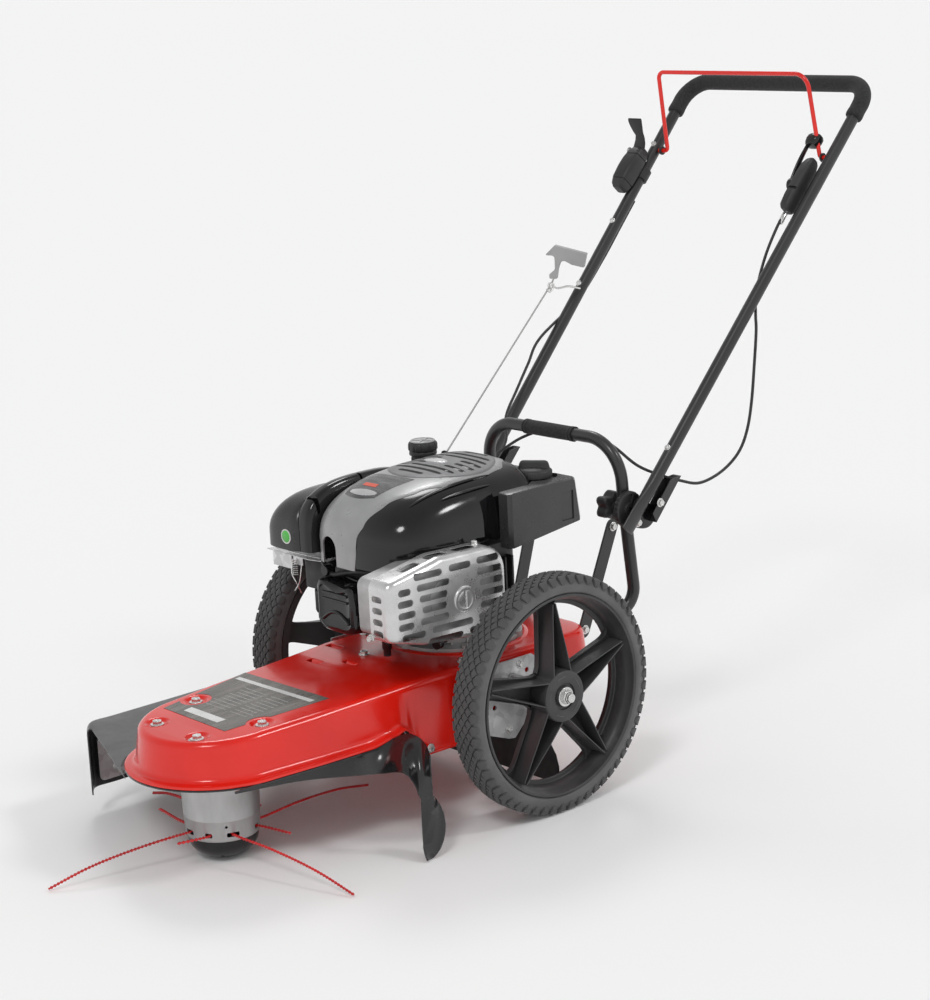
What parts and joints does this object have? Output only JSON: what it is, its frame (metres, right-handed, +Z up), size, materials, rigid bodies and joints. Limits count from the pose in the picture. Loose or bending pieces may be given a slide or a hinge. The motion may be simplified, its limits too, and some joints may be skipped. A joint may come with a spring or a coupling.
{
  "type": "wheeled string trimmer",
  "caption": "Two-wheeled walk-behind brush mower: red pressed deck, vertical-shaft engine, belt-driven nylon line head at the nose and a folding push handle.",
  "frame": {"origin": "on the ground, on the spindle axis of the line head, at the middle of the flat under the glide dome", "axes": "+Z up; +Y from the nose back towards the operator; +X the operator's right-hand side"},
  "size_m": [0.6465, 1.6684, 1.152],
  "materials": {
    "deck_red": "gloss powder coat",
    "black_metal": "satin black powder coat",
    "black_plastic": "moulded, semi-gloss",
    "rubber": "moulded rubber",
    "wheel_plastic": "moulded, fine texture",
    "foam": "closed-cell foam",
    "galvanised": "zinc plated",
    "steel": "bare pressed steel",
    "aluminium": "die cast",
    "silver_paint": "silver-grey painted moulding",
    "grey_plastic": "moulded",
    "line_red": "extruded nylon",
    "rope": "braided cord"
  },
  "bodies": {
    "chassis": {"deck_shell": "deck_red", "side_guard": "black_metal", "line_cutter": "galvanised", "rear_guard": "black_metal", "axle_plate_left": "galvanised", "axle_plate_right": "galvanised", "axle_pin_left": "galvanised", "axle_pin_right": "galvanised", "strut_left": "black_metal", "strut_right": "black_metal", "spindle_housing": "aluminium", "spindle_bolt_1": "galvanised", "spindle_bolt_2": "galvanised", "spindle_bolt_3": "galvanised", "spindle_bolt_4": "galvanised", "drive_belt": "rubber", "engine_base": "aluminium", "cylinder_block": "aluminium", "valve_cover": "black_plastic", "muffler_guard": "aluminium", "muffler": "steel", "blower_cover": "black_plastic", "engine_band": "silver_paint", "air_filter_cover": "black_plastic", "fuel_tank": "black_plastic", "carburettor": "aluminium", "carry_handle": "black_metal", "carry_grip": "foam", "cable_right": "black_plastic", "cable_left": "black_plastic", "starter_rope": "rope"},
    "wheel_left": {"tyre_left": "rubber", "rim_left": "wheel_plastic"},
    "wheel_right": {"tyre_right": "rubber", "rim_right": "wheel_plastic"},
    "head": {"spindle_shaft": "steel", "head_drum": "steel", "glide_dome": "black_plastic", "line_1": "line_red", "line_2": "line_red", "line_3": "line_red", "line_4": "line_red"},
    "crank": {"crank_pulley": "steel"},
    "idler": {"idler_arm": "galvanised"},
    "handle": {"upper_handle": "black_metal", "foam_grip": "foam", "height_adjuster_left": "black_plastic", "height_adjuster_right": "black_plastic", "clutch_housing": "black_plastic", "throttle_housing": "black_plastic", "rope_guide": "galvanised"},
    "bail": {"bail": "deck_red"},
    "clutch_lever": {"clutch_lever": "black_plastic"},
    "throttle_lever": {"throttle_lever": "black_plastic"},
    "starter": {"starter_grip": "grey_plastic"},
    "knob_left": {"knob_left": "black_plastic"},
    "knob_right": {"knob_right": "black_plastic"},
    "fuel_cap": {"fuel_cap": "black_plastic"},
    "oil_cap": {"oil_cap": "black_plastic"},
    "rear_flap": {"rear_flap": "rubber"}
  },
  "joints": [
    {"name": "wheel_left_spin", "type": "hinge", "parent": "chassis", "child": "wheel_left", "pos_m": [-0.265, 0.492, 0.203], "axis": [1, 0, 0], "continuous": true},
    {"name": "wheel_right_spin", "type": "hinge", "parent": "chassis", "child": "wheel_right", "pos_m": [0.265, 0.492, 0.203], "axis": [1, 0, 0], "continuous": true},
    {"name": "head_spin", "type": "hinge", "parent": "chassis", "child": "head", "pos_m": [0, 0, 0.12], "axis": [0, 0, 1], "continuous": true},
    {"name": "crank_spin", "type": "hinge", "parent": "chassis", "child": "crank", "pos_m": [0, 0.519, 0.2], "axis": [0, 0, 1], "continuous": true},
    {"name": "idler_swing", "type": "hinge", "parent": "chassis", "child": "idler", "pos_m": [0.105, 0.15, 0.206], "axis": [0, 0, 1], "range_deg": [0, 12.5]},
    {"name": "handle_fold", "type": "hinge", "parent": "chassis", "child": "handle", "pos_m": [0, 0.766, 0.45], "axis": [1, 0, 0], "range_deg": [-20, 75], "deforming": ["cable_right", "cable_left", "starter_rope"]},
    {"name": "bail_squeeze", "type": "hinge", "parent": "handle", "child": "bail", "pos_m": [0, 1.284, 1.0052], "axis": [-1, 0, 0], "range_deg": [0, 44], "stiffness_Nm_per_rad": 0.6, "springref_deg": -28.65},
    {"name": "clutch_swing", "type": "hinge", "parent": "handle", "child": "clutch_lever", "pos_m": [-0.21834, 1.2376, 1.00811], "axis": [1, 0, 0], "range_deg": [-50, 0]},
    {"name": "throttle_swing", "type": "hinge", "parent": "handle", "child": "throttle_lever", "pos_m": [0.21755, 1.22684, 0.96095], "axis": [1, 0, 0], "range_deg": [-15, 35]},
    {"name": "starter_pull", "type": "slide", "parent": "handle", "child": "starter", "axis": [0.2, 0.35, 0.9151], "range_m": [0, 0.45], "stiffness_N_per_m": 25, "springref_m": -0.2},
    {"name": "knob_left_turn", "type": "hinge", "parent": "chassis", "child": "knob_left", "pos_m": [-0.142, 0.766, 0.45], "axis": [1, 0, 0], "range_deg": [0, 360]},
    {"name": "knob_right_turn", "type": "hinge", "parent": "chassis", "child": "knob_right", "pos_m": [0.142, 0.766, 0.45], "axis": [1, 0, 0], "range_deg": [0, 360]},
    {"name": "fuel_cap_turn", "type": "hinge", "parent": "chassis", "child": "fuel_cap", "pos_m": [0.103, 0.626, 0.53], "axis": [0, 0, 1], "range_deg": [0, 90]},
    {"name": "oil_cap_turn", "type": "hinge", "parent": "chassis", "child": "oil_cap", "pos_m": [-0.112, 0.562, 0.559], "axis": [0, 0, 1], "range_deg": [0, 90]},
    {"name": "flap_swing", "type": "hinge", "parent": "chassis", "child": "rear_flap", "pos_m": [0, 0.54, 0.118], "axis": [1, 0, 0], "range_deg": [-10, 50]}
  ],
  "couplings": [
    {"joint": "crank_spin", "follows": "head_spin", "ratio": 1.5},
    {"joint": "idler_swing", "follows": "clutch_swing", "ratio": -0.25}
  ]
}
